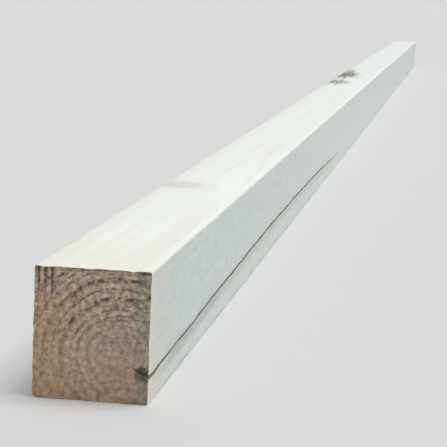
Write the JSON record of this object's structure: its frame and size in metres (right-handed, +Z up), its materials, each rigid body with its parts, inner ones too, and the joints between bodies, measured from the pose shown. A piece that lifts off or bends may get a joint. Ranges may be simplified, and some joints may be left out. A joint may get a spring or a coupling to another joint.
{
  "type": "sawn timber batten",
  "caption": "Straight length of rough-sawn softwood timber of nearly square section, square-cut ends, with a seasoning check along one side.",
  "frame": {"origin": "middle of the underside, halfway along the length", "axes": "+X along the length, away from the end where the seasoning check opens; the checked side faces -Y; +Z up from the underside"},
  "size_m": [3, 0.046, 0.052],
  "materials": {
    "sawn_softwood": "matte"
  },
  "bodies": {
    "root": {"timber_batten": "sawn_softwood"}
  },
  "joints": []
}
